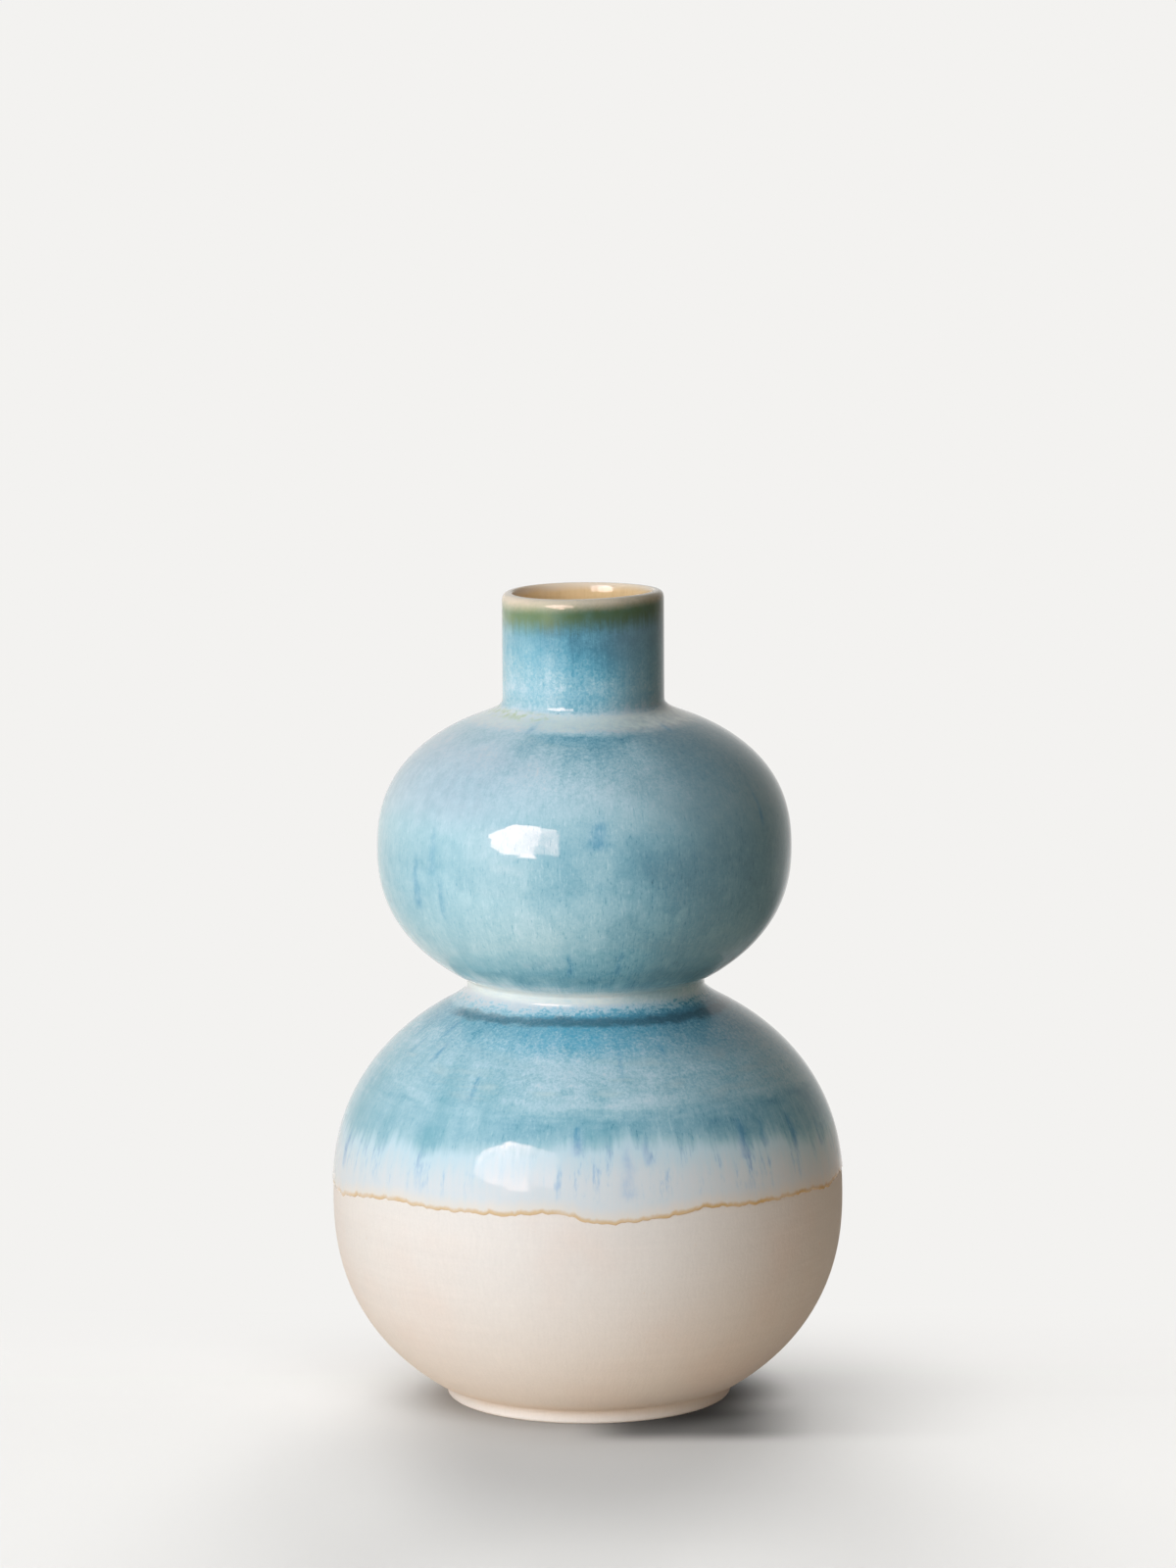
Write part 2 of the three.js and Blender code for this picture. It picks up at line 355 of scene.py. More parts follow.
def lower_outline(s):
    """The lower bulb: underside, outside up to the waist, then down inside to the floor. Its
    rows are closest at its root, over the foot."""
    low, root, top = s.foot_height + s.seam / 2, 0.012, s.waist_level - s.seam / 2
    level = np.concatenate([spread(low, root, 14), spread(root, top, 120)[1:]])
    floor = s.foot_height + s.floor
    cove = spread(floor, floor + s.floor_cove, 8)
    within = np.concatenate([cove, spread(cove[-1], top, 24)[1:]])
    return np.vstack([
        [[0, low], [s.foot_inner - MM, low]],
        rows(outside(s, level), level),
        rows(inside(s, within), within)[::-1],
        [[0, floor]],
    ])


def upper_outline(s):
    """The upper bulb: outside from the waist up to the neck's joint, then down inside."""
    low, top = s.waist_level + s.seam / 2, s.neck_joint - s.seam / 2
    level, within = spread(low, top, 60), spread(low, top, 30)[::-1]
    return np.vstack([rows(outside(s, level), level), rows(inside(s, within), within)])


def seam_outline(s, joint, bore=None):
    """A seam of slip: the flat ring between two sections at a joint, from the clay's outside
    to a bore, or to the clay's inside."""
    level = np.array([joint - s.seam / 2, joint + s.seam / 2])
    bore = inside(s, level) if bore is None else bore
    return np.vstack([rows(outside(s, level), level), rows(bore, level)[::-1]])


def clay_top(s):
    """Level of the clay's lip, under the glaze."""
    return s.height - s.glaze_gap - s.glaze


def lip(s):
    """The clay's lip: its outer quarter round, then its inner one, from outside to inside.
    Both are taller than wide."""
    crest, top = s.neck_radius - s.lip_round, clay_top(s)
    outer_round = quarter(crest, top - s.lip_drop, s.lip_round, s.lip_drop, 0, 14, full=3)
    inner = s.neck_wall - s.lip_round
    inner_round = quarter(crest, top - s.mouth_flare, inner, s.mouth_flare, np.pi / 2, 14)
    return outer_round, inner_round


def neck_outline(s):
    """The neck: its outside up to the lip, over the lip and down inside."""
    low, straight = s.neck_joint + s.seam / 2, s.neck_joint + s.neck_fillet
    level = np.append(spread(low, straight, 12), clay_top(s) - s.lip_drop)
    within = np.array([straight, low])
    return np.vstack([
        rows(outside(s, level), level), *lip(s), rows(inside(s, within), within),
    ])


# The glaze line: the level where the outer coat ends, in millimetres, by the degrees from
# the front; and its teeth: how many go round, where they start and how high they are

LINE = (
    (-180, 61.6), (-165, 62.4), (-150, 61.2), (-135, 61.0), (-120, 62.0), (-105, 61.0),
    (-90, 60.2), (-80, 59.6), (-72, 59.3), (-60, 61.6), (-48, 63.2), (-36, 62.8),
    (-27, 63.1), (-18, 63.0), (-12, 63.9), (-6, 64.2), (1, 61.6), (6, 61.4),
    (14, 62.2), (20, 62.8), (27, 64.2), (37, 63.2), (54, 63.0), (60, 62.7),
    (68, 61.5), (78, 63.0), (90, 62.4), (105, 61.2), (120, 61.8), (135, 63.0), (150, 62.2),
    (165, 61.0), (180, 61.6),
)
TEETH = ((61, 0.9, 0.16), (97, 2.1, 0.13), (149, 4.0, 0.10), (211, 5.3, 0.07))


def from_front(turn):
    """The turn in degrees from the side that faces the camera, -180 to 180."""
    return (np.degrees(turn) + 90 + 180) % 360 - 180


def glaze_line(turn):
    """Level of the coat's lower edge: the line through its heights, with small teeth made
    of sines of high and unrelated counts round the vase, each of its own size."""
    at, height = np.array(LINE).T
    teeth = sum(size * np.sin(count * turn + phase) for count, phase, size in TEETH)
    return (np.interp(from_front(turn), at, height) + teeth) * MM


def slant(s, level):
    """How much further a distance along the surface's normal reaches sideways: the root of
    one plus the outline's slope squared."""
    h = 1e-5
    slope = (outside(s, level + h) - outside(s, level - h)) / (2 * h)
    return np.sqrt(1 + slope ** 2)


# The outer coat's rows. Up to WAVY_TOP they follow the glaze line, the first of them at so many
# of the WAVY_SPAN parts between the two. Over it they are level: from, to and how many, after
# a few up to LEVEL_LOW, and with the neck's own from LEVEL_TOP.
WAVY_TOP = 0.090
WAVY_FIRST = (0, 0.04, 0.1, 0.17, 0.25, 0.35, 0.47, 0.6, 0.85, 1.2, 1.7, 2.4)
WAVY_SPAN = 28.5
LEVEL_LOW, LEVEL_TOP = 0.106, 0.1874
LEVEL_ROWS = (
    (0.1066, 0.1162, 18), (0.1166, 0.1194, 14), (0.1202, 0.180, 30), (0.1815, 0.1870, 8),
)

# The coat's lower edge: clearance and thickness there, the height of its rounding, and
# between what heights over the line it thickens
EDGE_GAP, EDGE_GLAZE = 0.02 * MM, 0.3 * MM
EDGE_ROUND = 0.0006
EDGE_THICKENS = (0.004, 0.016)

# Where glaze pools: over the neck's joint, with half its height; and in beads at the waist,
# with their level, half height and share of a bead
NECK_POOL = (0.0034, 0.0022)
WAIST_BEADS = ((0.1176, 0.0004, 1.0), (0.1187, 0.0004, 0.6))


def coat_near_line(s, line, part):
    """The coat's lower rows, from the glaze line up to a fixed level: the clay's radius plus
    the coat, which thins over the last few millimetres and ends in a quarter round."""
    level = line + (WAVY_TOP - line) * part[:, None]
    over = level - line
    edge = np.sqrt(1 - (1 - np.clip(over / EDGE_ROUND, 0, 1)) ** 2)
    thin = EDGE_GLAZE + (s.glaze - EDGE_GLAZE) * smooth_step(over, *EDGE_THICKENS)
    out = EDGE_GAP + (s.glaze_gap - EDGE_GAP + thin) * edge
    return outside(s, level) + out * slant(s, level), level


def glaze_pools(s, level):
    """How much the coat's radius grows where the glaze pools: it rounds out the corner under
    the neck, as a mean of the outline's radii over and under a level does, and stands in two
    low beads at the upper bulb's lower end."""
    away = np.linspace(-2, 2, 17)
    weight = np.exp(-away ** 2 / 2)
    around = outside(s, level[:, None] + away * s.neck_pool)
    corner = around @ (weight / weight.sum()) - outside(s, level)
    near = bump_shape(level, s.neck_joint + NECK_POOL[0], NECK_POOL[1])
    beads = sum(part * bump_shape(level, at, half) for at, half, part in WAIST_BEADS)
    return corner * near + beads * s.waist_bead


def outer_coat(s, columns):
    """The outer coat, ring by ring: up its outer side from the glaze line to the lip's crest
    and back down beside the clay."""
    line = glaze_line(turns(columns))[None]
    first = np.array(WAVY_FIRST) / WAVY_SPAN
    part = np.concatenate([first, np.linspace(first[-1], 1, 22)[1:]])
    low_radius, low_level = coat_near_line(s, line, part)
    straight = s.neck_joint + s.neck_fillet
    level = np.concatenate([
        np.linspace(WAVY_TOP, LEVEL_LOW, 10)[1:],
        *(np.linspace(*row) for row in LEVEL_ROWS),
        np.linspace(LEVEL_TOP, straight, 14),
        np.linspace(straight, clay_top(s) - s.lip_drop, 4)[1:],
    ])
    clay = np.vstack([
        rows(outside(s, WAVY_TOP), WAVY_TOP), rows(outside(s, level), level), lip(s)[0],
    ])
    outer = moved(clay, s.glaze_gap + s.glaze)[1:]
    outer[:len(level), 0] += glaze_pools(s, level)
    inner = moved(clay, s.glaze_gap)[::-4]
    down = np.linspace(1, 0.02, 8)[:, None]
    under = line + (WAVY_TOP - line) * down
    wide = np.ones((1, columns))
    radius = [low_radius, outer[:, :1] * wide, inner[:, :1] * wide,
              outside(s, under) + EDGE_GAP]
    levels = [low_level, outer[:, 1:] * wide, inner[:, 1:] * wide, under]
    return np.vstack(radius), np.vstack(levels)


def inner_coat_outline(s):
    """The inner coat: from the floor up beside the clay to the lip's crest and back down
    inside."""
    top, joint = s.waist_level, s.neck_joint
    floor = s.foot_height + s.floor
    down = np.concatenate([
        np.linspace(clay_top(s) - s.mouth_flare - MM, joint + s.neck_fillet, 12),
        spread(joint - MM, top, 30), spread(floor + s.floor_cove, top, 24)[::-1][1:],
        spread(floor, floor + s.floor_cove, 8)[::-1][1:],
    ])
    crest = [[s.neck_radius - s.lip_round, clay_top(s)]]
    lined = np.vstack([crest, lip(s)[1], rows(inside(s, down), down), [[0, floor]]])
    sides = []
    for distance in (s.glaze_gap, s.glaze_gap + s.glaze):
        side = moved(lined, distance)
        side[0] = crest[0][0], clay_top(s) + distance
        side[-1, 0] = 0
        sides.append(side)
    return np.vstack([sides[0][::-1], sides[1]])


# Materials

class Value:
    """One output of a tree's nodes; arithmetic on it adds Math nodes."""

    def __init__(self, nodes, socket):
        self.nodes = nodes
        self.socket = socket

    def __add__(self, other):
        return self.nodes.math("ADD", self, other)

    def __sub__(self, other):
        return self.nodes.math("SUBTRACT", self, other)

    def __rsub__(self, other):
        return self.nodes.math("SUBTRACT", other, self)

    def __mul__(self, other):
        return self.nodes.math("MULTIPLY", self, other)

    def __truediv__(self, other):
        return self.nodes.math("DIVIDE", self, other)

    def __rtruediv__(self, other):
        return self.nodes.math("DIVIDE", other, self)

    __radd__ = __add__
    __rmul__ = __mul__


class Nodes:
    """Nodes of one tree, added by plain calls."""

    def __init__(self, tree):
        self.tree = tree
        self.tree.nodes.clear()

    def node(self, kind, settings=None, sockets=None, output=0):
        """Any node: its settings are made first, then its sockets are set or linked. Given
        several outputs, it returns them all, and without any, the node itself."""
        made = self.tree.nodes.new("ShaderNode" + kind)
        for key, value in (settings or {}).items():
            if key != "stops":
                setattr(made, key, value)
                continue
            for _ in value[2:]:
                made.color_ramp.elements.new(0)
            for element, (at, tone) in zip(made.color_ramp.elements, value):
                element.position, element.color = at, as_colour(tone)
        self.fill(made, sockets or {})
        if isinstance(output, tuple):
            return [Value(self, made.outputs[each]) for each in output]
        return Value(self, made.outputs[output]) if len(made.outputs) else made

    def fill(self, made, sockets):
        """Sets or links the sockets of a node."""
        for key, value in sockets.items():
            if isinstance(value, Value):
                self.tree.links.new(value.socket, made.inputs[key])
            else:
                made.inputs[key].default_value = value

    def math(self, operation, *values):
        """A Math node's result."""
        return self.node("Math", {"operation": operation}, dict(enumerate(values)))

    def parts(self, vector):
        """The three numbers of a vector or colour."""
        return self.node("SeparateXYZ", None, {0: vector}, output=(0, 1, 2))

    def step(self, value, low, high):
        """Zero below low, one above high, with an even S between; low may be the larger."""
        if low > high:
            return 1 - self.step(value, high, low)
        settings = {"interpolation_type": "SMOOTHSTEP"}
        return self.node("MapRange", settings, {0: value, 1: low, 2: high})

    def band(self, value, low, high, soft):
        """One between low and high, falling off over soft on either side."""
        rise = self.step(value, low - soft, low + soft)
        return rise * self.step(value, high + soft, high - soft)

    def mix(self, part, first, second):
        """The first colour, with a share of the second over it."""
        colours = {0: part, 6: as_colour(first), 7: as_colour(second)}
        return self.node("Mix", {"data_type": "RGBA"}, colours, output=2)

    def over(self, tone, *layers):
        """A colour with others over it, each given as its share and its colour."""
        for part, above in layers:
            tone = self.mix(part, tone, above)
        return tone

    def scaled(self, tone, factor):
        """A colour times a number."""
        return self.node("VectorMath", {"operation": "SCALE"}, {0: tone, "Scale": factor})

    def through(self, value, stops):
        """A colour by a value, through stops of value and colour."""
        low, high = stops[0][0], stops[-1][0]
        part = self.node("MapRange", None, {0: value, 1: low, 2: high})
        places = [((at - low) / (high - low), tone) for at, tone in stops]
        return self.node("ValToRGB", {"stops": places}, {0: part})


DRUM = 55.0  # radius in millimetres at which a noise that follows the turn has its width


class Finish(Nodes):
    """A procedural material, which reads its place in millimetres: x, y, z, the distance out
    from the axis, and how far to the right and the back, as shares of that. Given constants,
    it starts as one Principled surface."""

    def __init__(self, name, **constants):
        self.material = bpy.data.materials.new(name)
        self.material.use_nodes = True
        super().__init__(self.material.node_tree)
        self.end = self.node("OutputMaterial")
        self.surfaces = []
        if constants:
            self.show(self.principled(**constants))
        self.place = self.node("TexCoord", output="Object")
        self.x, self.y, self.z = (value / MM for value in self.parts(self.place))
        self.out = self.math("SQRT", self.x * self.x + self.y * self.y)
        self.right, self.back = self.x / self.out, self.y / self.out

    def principled(self, **constants):
        """A Principled surface with constants on its own sockets."""
        made = self.node("BsdfPrincipled", None, socket_names(constants))
        self.surfaces.append(made)
        return made

    def set(self, **values):
        """Links values to the sockets of every Principled surface."""
        for surface in self.surfaces:
            self.fill(surface.socket.node, socket_names(values))

    def show(self, shader):
        """Makes a shader the material's surface."""
        self.fill(self.end, {0: shader})

    def noise(self, width, height=None, detail=1.0, seed=0.0, distortion=0.0):
        """Even noise, mostly from -1 to 1, whose patches are about so many millimetres
        wide; with a height they stretch or shrink up the vase and follow its turn."""
        if height is None:
            place, scale = (self.x + seed, self.y, self.z), 1 / width
        else:
            drum = DRUM / width
            place, scale = (self.right * drum + seed, self.back * drum, self.z / height), 1.0
        where = self.node("CombineXYZ", None, dict(enumerate(place)))
        return (self.node("TexNoise", None, {
            "Vector": where, "Scale": scale, "Detail": detail, "Distortion": distortion,
        }) - 0.5) * 4

    def noted(self, name):
        """A number that the piece keeps for each of its points."""
        return self.node("Attribute", {"attribute_name": name}, output="Fac")

    def relief(self, height):
        """Raises the surface by a height in millimetres."""
        bump = self.node("Bump", None, {"Height": height * MM, "Distance": 1.0})
        self.set(Normal=bump)


def socket_names(values):
    """Values by the names of their sockets, which have spaces for underscores."""
    return {name.replace("_", " "): value for name, value in values.items()}


def as_colour(value):
    """A linked colour as it is, and a plain one with its alpha."""
    return value if isinstance(value, Value) else (*value, 1)


def clay_finish(name, c, base):
    """Bare stoneware: a cream ground with pink and pale flashes, faint turning rings, a
    painted warm shade in the fold over the foot, a fine satin grain and a few specks."""
    f = Finish(name, Roughness=0.72, IOR=1.45)
    flash = f.noise(34, detail=3, seed=7)
    rings = f.noise(60, 1.7, seed=3)
    grain = f.noise(0.7, detail=2)
    cloth = f.noise(0.6, 3.5, detail=2, seed=11)
    speck = f.step(f.noise(1.1, detail=0, seed=31), 1.35, 1.75)
    ground = f.over(
        base,
        (f.step(flash, -0.1, 1.2) * 0.6, c.blush),
        (f.step(flash + rings * 0.4, -0.1, -1.3) * 0.6, c.chalk),
        (f.band(f.z, *FOOT_FOLD_SHADE) * 0.2, c.honey),
    )
    ground = f.scaled(ground, (grain * 0.5 + cloth * 0.5 + rings * 0.35) * 0.035 + 1)
    f.set(Base_Color=f.mix(speck * 0.25, ground, c.honey))
    f.relief(grain * 0.012 + cloth * 0.008 + rings * 0.012)
    return f.material


# How deep the outer glaze's blue is, in hundredths, on the lower and the upper bulb: height in
# millimetres, then the depth at the left, at the front and at the right of the vase
# The paler left and deeper right are partly the glaze's own and partly painted light and painted
# shade, as the softbox lights the left.
LOWER_DEPTH = (
    (80, 50, 54, 64), (84, 50, 56, 70), (87, 47, 58, 72), (90, 47, 36, 52), (94, 48, 37, 50),
    (98, 44, 32, 52), (101, 46, 32, 50), (104, 46, 40, 52), (106, 62, 54, 62),
    (107.5, 62, 66, 76), (108.6, 66, 84, 92), (109.6, 18, 80, 92), (110.5, 2, 42, 56),
    (112, 1, 22, 42), (113.5, 2, 8, 42), (115.5, 10, 12, 60), (117, 22, 50, 74),
    (119, 38, 66, 80), (122, 60, 76, 82),
)
UPPER_DEPTH = (
    (122, 60, 76, 82), (126, 52, 68, 74), (132, 55, 58, 74), (140, 54, 54, 78),
    (149, 52, 55, 80), (152, 52, 57, 79), (160, 38, 52, 66), (168, 30, 35, 46),
    (175, 28, 24, 46), (180, 20, 42, 46), (184.6, 30, 68, 58), (186, 8, 7, 5), (189, 8, 14, 8),
    (190.2, 40, 50, 36), (192, 40, 62, 62), (195, 26, 54, 58), (200, 42, 70, 76),
    (206, 58, 94, 90), (212, 72, 94, 94),
)

# Zones of the finishes in millimetres over the table: bottom, top and how softly they end
# The fold over the foot, where painted warm shade lies: bottom, top and how softly it ends
FOOT_FOLD_SHADE = (2.9, 6.0, 2.0)
# The two bands on the right of the lower bulb hold painted shade
ZONES = {
    "milky_runs": (69, 83, 4), "teal_streaks": (76, 98, 5), "right_shade_band": (78, 108, 4),
    "lower_sweeps": (86, 104, 3), "lower_strokes": (90, 114, 6), "pale_sweeps": (91, 102, 3),
    "right_shade_band_top": (100, 108, 3), "waist_flecks": (102, 110, 2),
    "waist_azure": (102, 112.6, 2.5), "waist_calm": (105, 118, 2), "crease": (108.2, 109.9, 0.5),
    "waist_specks": (109.8, 113.2, 0.7), "waist_cove": (112.8, 116.0, 0.9),
    "upper_glow_lobes": (126, 160, 5), "left_dusk": (164, 183, 5), "upper_strokes": (172, 206, 8),
    "neck_calm": (184, 191, 1.5), "neck_cove": (186.0, 189.2, 0.9),
    "neck_strokes": (187.2, 190, 0.6), "lime_flecks": (187.6, 189.4, 0.7),
    "neck_azure": (191.5, 207, 3), "neck_glow_lobes": (196, 208, 4),
}

# Where, going up, the upper bulb's depths take over, the painted shade on the right grows, the
# flecks grow calmer, and the olive ring and the pale lip set in
UPPER_FROM = (121.9, 122.1)
RIGHT_SHADE_FROM = (112, 122)
CALM_FROM = (206, 212)
OLIVE_FROM = (209.4, 215.4)
LIP_FROM = (216.0, 221.0)

# Where the blue ends in drips over the milky glaze: height by degrees from the front
DRIP_LINE = (
    (-180, 80), (-100, 78.5), (-72, 77), (-45, 78.2), (-22, 79.5), (-4, 82), (6, 83),
    (16, 82.2), (26, 80.8), (36, 80), (50, 78.8), (66, 75.6), (100, 78), (140, 81), (180, 80),
)

# Single runs in the outer glaze: degrees from the front, top and bottom in millimetres, half
# width in degrees, and how much deeper its blue is
RUNS = (
    (-73, 104.5, 102, 0.9, 0.35), (-65, 102.5, 99, 0.9, 0.35), (-56.6, 107, 103.5, 1.0, 0.45),
    (-51.8, 103.5, 98, 1.0, 0.45), (-31.8, 98, 91, 0.8, 0.30), (-21.6, 108, 106, 0.9, 0.30),
    (10.2, 106, 97, 0.7, 0.30), (25.2, 105, 101, 0.9, 0.40), (-2.4, 87, 79.5, 1.1, 0.60),
    (13.8, 84, 76, 1.0, 0.30), (9, 83, 68, 1.5, 0.26), (39, 87, 75.5, 1.3, 0.50),
    (45.6, 85, 77.5, 0.9, 0.30), (56.4, 85, 75, 1.1, 0.40), (68.4, 81, 73, 1.0, 0.30),
    (-72.6, 79, 67, 0.9, 0.35), (-53, 155, 140, 1.4, 0.30), (-46, 164, 149, 1.4, 0.16),
    (-43, 149, 137, 1.2, 0.20), (60, 171, 160, 0.7, 0.45), (-5, 130, 123.5, 0.9, 0.30),
    (11, 130, 123.5, 0.9, 0.30), (4, 167, 159, 2.6, 0.35), (112, 160, 141, 1.3, 0.35),
    (150, 150, 132, 1.5, 0.40), (-128, 168, 150, 1.2, 0.30), (-155, 104, 96, 1.0, 0.40),
    (125, 85, 72, 1.2, 0.50), (163, 84, 74, 1.0, 0.40), (-112, 83, 70, 1.2, 0.45),
)
# Single marks: degrees from the front, level, half width, half height and depth
MARKS = ((-28, 186.4, 1.8, 0.9, 0.9), (46, 185.8, 1.8, 0.8, 0.8), (-138, 186, 1.6, 0.8, 0.8))


def run_depth(turn, level):
    """How much the single runs and marks deepen the blue. A run is a bell across, narrower
    at its top, which fades in from above, ends short at the bottom and wanders a little by a
    sine of its height. A mark is a bell both ways."""
    front, height = from_front(turn), level / MM
    total = np.zeros(np.broadcast(front, height).shape)
    for at, top, bottom, half, depth in RUNS:
        along = np.clip((top - height) / (top - bottom), 0, 1)
        wide = half * (0.5 + 0.6 * along)
        middle = at + 0.25 * np.sin(height * 0.9 + at)
        long = smooth_step(height, bottom - 0.8, bottom + 0.8) * smooth_step(
            height, top, top - 0.35 * (top - bottom))
        total = total + depth * long * bump_shape(front, middle, wide)
    for at, centre, half, tall, depth in MARKS:
        total = total + depth * bump_shape(front, at, half) * bump_shape(height, centre, tall)
    return total


def depth_stops(table):
    """A table of depths as the stops of a ramp, whose colour holds the three of them."""
    return [(height, [part / 100 for part in parts]) for height, *parts in table]


def run_glaze(name, c):
    """The outer coat. One depth of glaze, from 0 where it is thin and milky to 1 where it
    pools, gives the colour. It follows the height and the side of the vase, the drips, the
    single runs, broad and narrow upright streaks, level strokes, mottle and fine flecks; the
    side's paler left and deeper right are partly painted light and painted shade, and the paler
    lobe at the left front is partly the softbox's painted glow. Other tones lie over it, each by
    its own share, from the teal streaks to the lip and the amber line, with a painted shade of
    slate on the right and a dark line under the waist that is partly painted shade. Where the
    glaze is milky, a softer surface stands in for the glossy one."""
    f = Finish(name, Roughness=0.05, IOR=1.5)
    over_line, over_drips, runs = (f.noted(n) for n in ("over_line", "over_drips", "runs"))
    broad = f.noise(11, 60, detail=2, seed=5)
    narrow = f.noise(2.0, 14, detail=2, seed=17)
    cloud = f.noise(13, detail=2, seed=2)
    mottle = f.noise(3.2, detail=3, seed=9)
    worm = f.noise(0.8, detail=2, seed=21, distortion=0.8)
    dash = f.noise(0.5, 2.0, detail=2, seed=4)
    stroke = f.noise(4, 0.7, detail=2, seed=15)
    lying = f.noise(14, 2.2, detail=2, seed=27)

    def zone(each, level=f.z):
        return f.band(level, *ZONES[each])

    # The depth by height, and from the left over the front to the right, partly the glaze's own
    # and partly painted light on the lit left and painted shade on the right
    calm = zone("waist_calm") * 0.85 + zone("neck_calm") * 0.85
    height = f.z + (cloud * 2.2 + broad * 1.1 + narrow * 0.8) * (1 - calm) + stroke * 0.2
    low = f.parts(f.through(height, depth_stops(LOWER_DEPTH)))
    high = f.parts(f.through(height, depth_stops(UPPER_DEPTH)))
    up = f.step(height, *UPPER_FROM)
    left_d, front_d, right_d = (a + (b - a) * up for a, b in zip(low, high))
    side = f.right + cloud * 0.10
    to_left, to_right = f.step(side, -0.12, -0.75), f.step(side, 0.05, 0.66)
    depth = front_d + (left_d - front_d) * to_left + (right_d - front_d) * to_right

    # Broad lobes beside the front, the paler one at the left partly the painted glow of the
    # softbox round its highlight, then flecks, specks and level sweeps
    strokes = zone("upper_strokes") + zone("lower_strokes")
    belt = zone("upper_glow_lobes") + zone("neck_glow_lobes")
    # Painted light: the paler lobe at the left front lies round the softbox's highlight; the
    # deeper one is at the right front
    glow_and_deep_lobes = f.band(side, 0.12, 0.42, 0.12) * 0.10 - f.band(side, -0.56, -0.18, 0.14) * 0.13
    fleck = f.step(dash, 0.3, 1.4) * 0.30 - f.step(dash, -0.2, -1.2) * 0.17
    fleck = fleck * (1 - strokes * 0.5) + worm * (
        0.06 + strokes * 0.13 + zone("waist_flecks") * 0.12)
    fleck = fleck * (1 - to_left * 0.35)
    speck = f.step(stroke + worm * 0.5 - (f.z - 111.2) * 0.5, -0.4, 0.9) * 0.42 - 0.12
    sweep = lying * zone("lower_sweeps") * 0.15 + speck * zone("waist_specks")
    sweep = sweep + f.step(stroke, 0.4, 1.2) * zone("neck_strokes") * 0.35
    depth = depth + cloud * 0.05 + broad * 0.035 + narrow * 0.035 + mottle * 0.065
    depth = depth + fleck * (1 - f.step(f.z, *CALM_FROM) * 0.4) + sweep + belt * glow_and_deep_lobes

    # The milky glaze under the drips, its faint upright runs, and the single runs
    edge = over_drips + broad * 1.8 + narrow * 1.3 + f.noise(0.9, 12, seed=23) * 0.5
    milky = f.step(edge, 3.0, -3.0)
    thin = f.step(edge, -11, 0) * 0.2 + (narrow + dash * 0.6) * 0.022
    depth = depth * (1 - milky * 0.96) + milky * thin
    veil = f.step(narrow + broad * 0.5 + dash * 0.5, 0.1, 1.6) * zone("milky_runs") * milky * (
        1 - f.band(f.right, -0.5, -0.14, 0.1) * 0.85)
    run = runs * (0.45 + mottle * 0.25 + dash * 0.15)
    depth = depth + veil * 0.2 + run * (1 - milky * 0.3)

    # The shares of the tones over it
    teal = f.step(broad + cloud * 0.6, -0.4, 1.2) * zone("teal_streaks")
    pale = f.step(lying + cloud * 0.5, -0.1, 1.3) * zone("pale_sweeps")
    clear = zone("waist_azure") * (0.36 - to_left * 0.28 - to_right * 0.2) + zone(
        "neck_azure") * 0.2
    # Painted shade: a slate cast over the right, the side away from the softbox, strong over the
    # waist and fainter on the lower bulb
    painted_right_shade = f.step(f.z, *RIGHT_SHADE_FROM) * 0.55 + (1 - milky) * (
        zone("right_shade_band") * 0.17 + zone("right_shade_band_top") * 0.13)
    cove = zone("waist_cove") * (1 - to_right * 0.8) + zone(
        "neck_cove", f.z + stroke * 0.4) * (1 - run) * (1 - to_left * 0.3)
    lime = zone("lime_flecks") * f.step(f.right, -0.2, -0.6) * f.step(
        stroke + mottle * 0.5, -0.4, 0.9)
    # The dark line under the waist: partly the glaze's own dark line and partly painted shade in
    # the crease under the upper bulb, weaker on the lit left
    rough = f.z + stroke * 0.35 + mottle * 0.3 + f.math("ABSOLUTE", f.right) * 0.7
    crease_shade = zone("crease", rough) * f.step(f.right, -0.97, -0.88)
    rim = f.z + cloud * 0.25 + worm * 0.2
    ring = f.mix(f.step(f.right + cloud * 0.2, -0.9, 0.05), c.moss, c.olive)
    olive = f.step(rim + narrow * 0.7 - f.right, *OLIVE_FROM)
    line = over_line + narrow * 0.2 + worm * 0.16
    amber = f.step(f.noise(8, 60, seed=33), -1.1, 0.5) * 0.4 + 0.24 + to_right * 0.2
    by_depth = (
        (0, c.milk), (0.2, c.mist), (0.4, c.aqua), (0.6, c.sky), (0.8, c.blue), (1, c.deep))
    satin = f.principled(Roughness=0.06, IOR=1.5, Specular_IOR_Level=0.12)
    f.show(f.node("MixShader", sockets={0: milky * 0.9, 1: f.surfaces[0], 2: satin}))
    f.set(Base_Color=f.over(
        f.through(depth, by_depth),
        (teal * (1 - milky) * (1 - to_right) * 0.35, c.teal),
        (pale * 0.45, c.cove),
        (clear * (1 + mottle * 0.5 + worm * 0.7 + speck), c.azure),
        (to_right * painted_right_shade, c.shade_slate),
        (to_left * zone("left_dusk") * (0.28 + mottle * 0.1), c.dusk),
        (run * (1 - milky) * 1.3, c.cobalt),
        (veil * 0.7 + run * milky * 2.2, c.lavender),
        (cove * (0.75 + stroke * 0.3), c.cove),
        (lime * 0.6, c.lime),
        (crease_shade * (0.6 - to_left * 0.1), c.crease),
        (olive * (0.93 + mottle * 0.07), ring),
        (f.step(rim - f.right * 1.2, *LIP_FROM), c.lip),
        (f.step(line, 5.0, 0.8) * 0.4, c.lip),
        (f.step(line, 1.6, 0.5) * amber, c.amber),
    ))
    f.relief(f.noise(9, detail=1, seed=41) * 0.022 + f.noise(2.6, detail=1, seed=8) * 0.0022)
    return f.material


